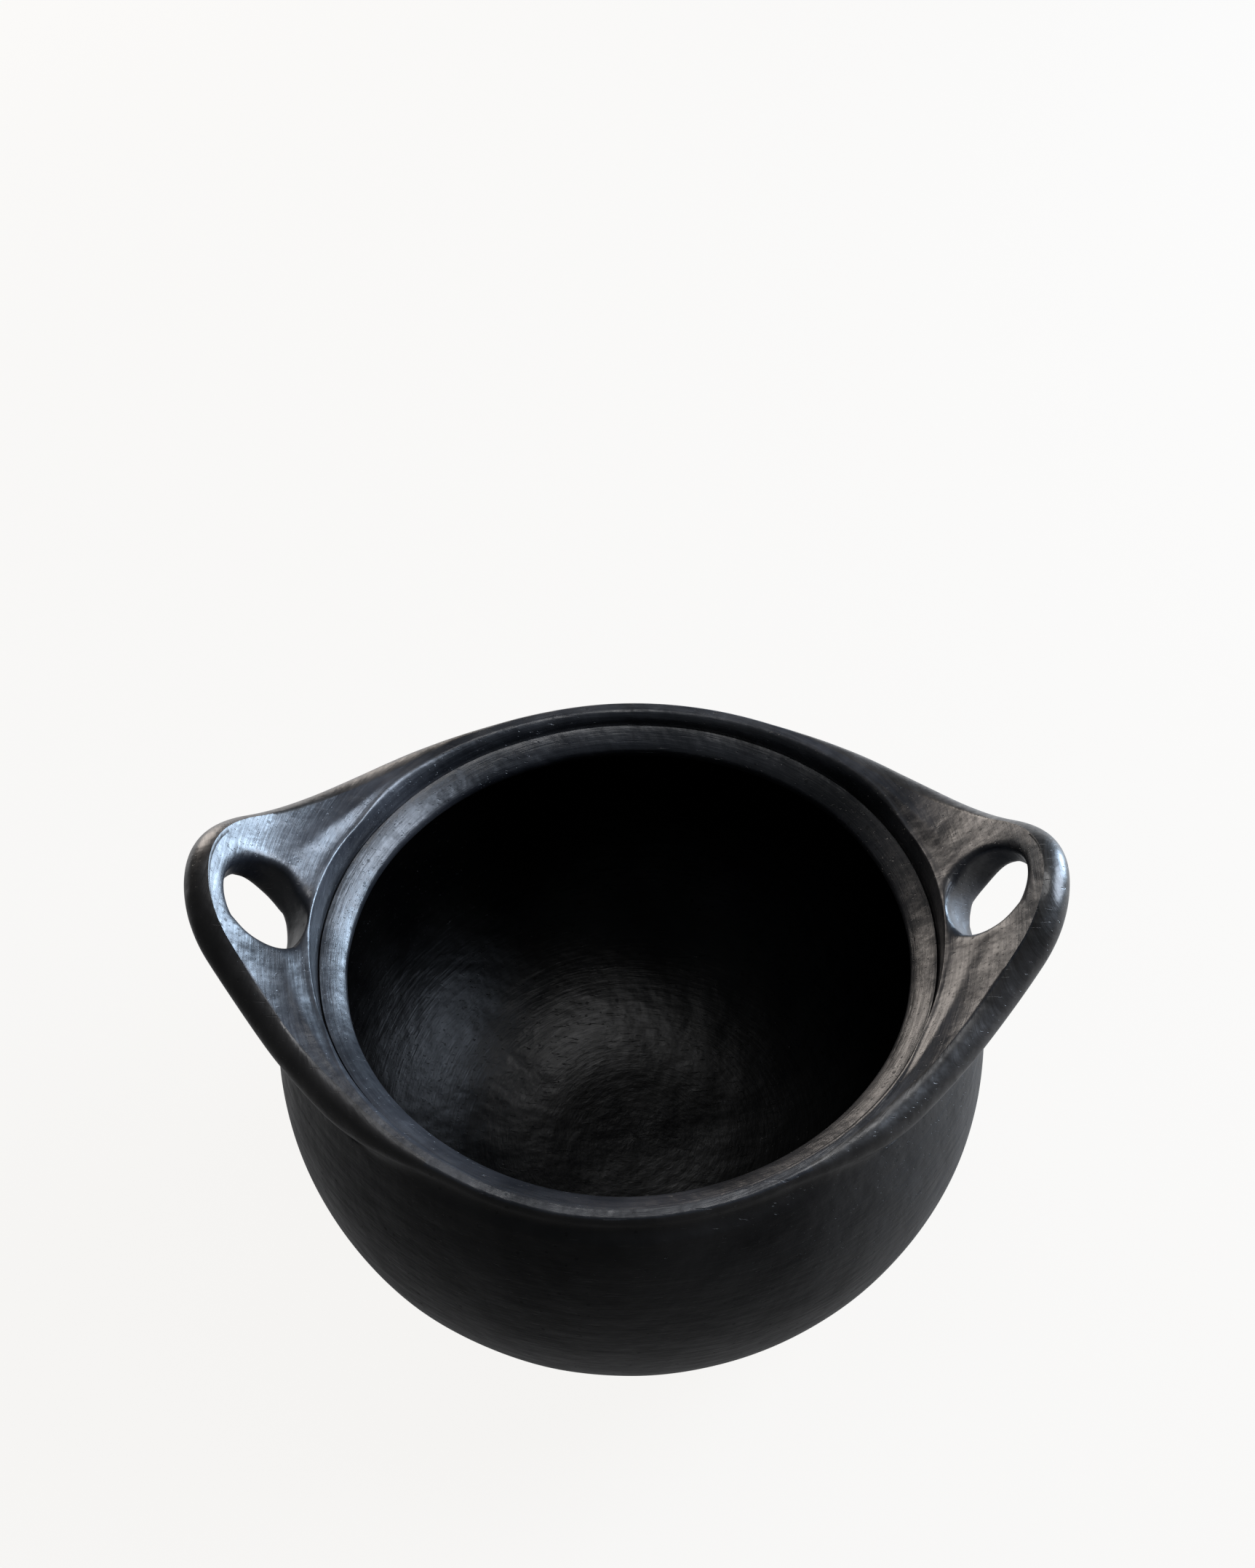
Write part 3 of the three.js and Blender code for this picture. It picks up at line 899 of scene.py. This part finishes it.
crest_plan = bmesh.new()
bmesh.ops.create_circle(crest_plan, cap_ends=True, radius=1, segments=turn_steps)
for vert in crest_plan.verts:
    angle = to_ear(math.atan2(vert.co.y, vert.co.x))
    radius = EarSection(angle).roll_end.x - 0.5 * mm
    vert.co = Vector((vert.co.x * radius, vert.co.y * radius, 100 * mm))
plug = bmesh.ops.extrude_face_region(crest_plan, geom=crest_plan.faces[:])["geom"]
plug_top = [item for item in plug if isinstance(item, bmesh.types.BMVert)]
bmesh.ops.translate(crest_plan, verts=plug_top, vec=(0, 0, 100 * mm))
bmesh.ops.recalc_face_normals(crest_plan, faces=crest_plan.faces)
crest_cutter = shape(crest_plan, "crest_cutter")

for side, room in (("right", right_wedge), ("left", left_wedge)):
    ear = shape(parted(rim_and_ears, room, "INTERSECT"), side + "_ear")
    web = parted(ear, crest_cutter, "INTERSECT")
    edge_coil = parted(ear, crest_cutter, "DIFFERENCE")
    fire(web, side + "_handle_web", handle_clay)
    fire(edge_coil, side + "_handle_edge_coil", edge_clay)
    discard(ear)

discard(mouth_shape, rim_and_ears, rim_without_right, seat_cutter, crest_cutter)
discard(right_wedge, left_wedge)


# ---- Floor, light and camera ----
# A plain pale table under soft studio light: one light overhead, a broad cool one to the right, a
# low cool one behind it and a low warm one behind on the left. The table throws more light up at
# the back than at the front.

floor_mesh = bmesh.new()
bmesh.ops.create_circle(floor_mesh, cap_ends=True, radius=4, segments=96)
bmesh.ops.translate(floor_mesh, verts=floor_mesh.verts, vec=(0, 0, -0.1 * mm))
table_top = shape(floor_mesh, "table_top")
pale = bpy.data.materials.new("pale_table")
pale.use_nodes = True
tree = pale.node_tree
tree.nodes.clear()
seen = tree.nodes.new("ShaderNodeLightPath").outputs["Is Camera Ray"]
matt = node_in(tree, "ShaderNodeBsdfDiffuse", None, Color=(0.8, 0.8, 0.8, 1))
where = tree.nodes.new("ShaderNodeTexCoord").outputs["Object"]
where = node_in(tree, "ShaderNodeSeparateXYZ", None, Vector=where).outputs
far = maths(tree, "ADD", where["Y"], maths(tree, "MULTIPLY", where["X"], 0.3))
shaded = ramp(tree, far, -0.3, 0.5)
shaded = maths(tree, "ADD", maths(tree, "MULTIPLY", shaded, 1.05), 0.09)
dim = node_in(tree, "ShaderNodeEmission", None, Color=(0.97, 0.98, 1, 1), Strength=shaded)
glow = node_in(tree, "ShaderNodeEmission", None, Color=(0.93, 0.92, 0.905, 1), Strength=1.03)
lit = node_in(tree, "ShaderNodeMixShader", None, Fac=0.95, i1=matt.outputs[0], i2=glow.outputs[0])
both = node_in(tree, "ShaderNodeMixShader", None, Fac=seen, i1=dim.outputs[0], i2=lit.outputs[0])
out = tree.nodes.new("ShaderNodeOutputMaterial")
tree.links.new(both.outputs[0], out.inputs["Surface"])
table_top.data.materials.append(pale)

world = bpy.data.worlds.new("studio")
world.use_nodes = True
tree = world.node_tree
tree.nodes.clear()
seen = tree.nodes.new("ShaderNodeLightPath").outputs["Is Camera Ray"]
around = node_in(tree, "ShaderNodeBackground", None, Color=(0.5, 0.55, 0.6, 1), Strength=0.12)
behind = node_in(tree, "ShaderNodeBackground", None, Color=(0.93, 0.92, 0.905, 1), Strength=1.0)
both = node_in(
    tree, "ShaderNodeMixShader", None, Fac=seen, i1=around.outputs[0], i2=behind.outputs[0]
)
out = tree.nodes.new("ShaderNodeOutputWorld")
tree.links.new(both.outputs[0], out.inputs["Surface"])
bpy.context.scene.world = world
bpy.context.scene.view_settings.view_transform = "Standard"


def softbox(name, place, size, power, color):
    light = bpy.data.lights.new(name, "AREA")
    light.shape = "DISK"
    light.size = size
    light.energy = power
    light.color = color
    lamp = bpy.data.objects.new(name, light)
    bpy.context.scene.collection.objects.link(lamp)
    lamp.location = place
    aim = Vector((0, 0, 0.1)) - Vector(place)
    lamp.rotation_euler = aim.to_track_quat("-Z", "Y").to_euler()
    return lamp


softbox("overhead", (0.22, 0.37, 1.5), 0.5, 4.5, (0.99, 0.99, 1.0))
softbox("cool_right", (1.35, 0.4, 0.95), 1.0, 33, (0.74, 0.84, 1.0))
softbox("cool_low", (1.35, 1.0, 0.3), 0.6, 38, (0.6, 0.78, 1.0))
softbox("warm_left", (-0.8, 1.35, 0.4), 0.8, 11, (1.0, 0.90, 0.82))

view_height = math.radians(47)
view_turn = math.radians(3.37)
view_roll = math.radians(-2.31)
camera = bpy.data.cameras.new("camera")
camera.lens = 46.3
camera.sensor_width = 36
eye = bpy.data.objects.new("camera", camera)
bpy.context.scene.collection.objects.link(eye)
turn = (
    Matrix.Rotation(view_turn, 4, "Z")
    @ Matrix.Rotation(math.pi / 2 - view_height, 4, "X")
    @ Matrix.Rotation(view_roll, 4, "Z")
)
eye.matrix_world = turn @ Matrix.Translation((-3.5 * mm, 141.5 * mm, 785.9 * mm))
bpy.context.scene.camera = eye
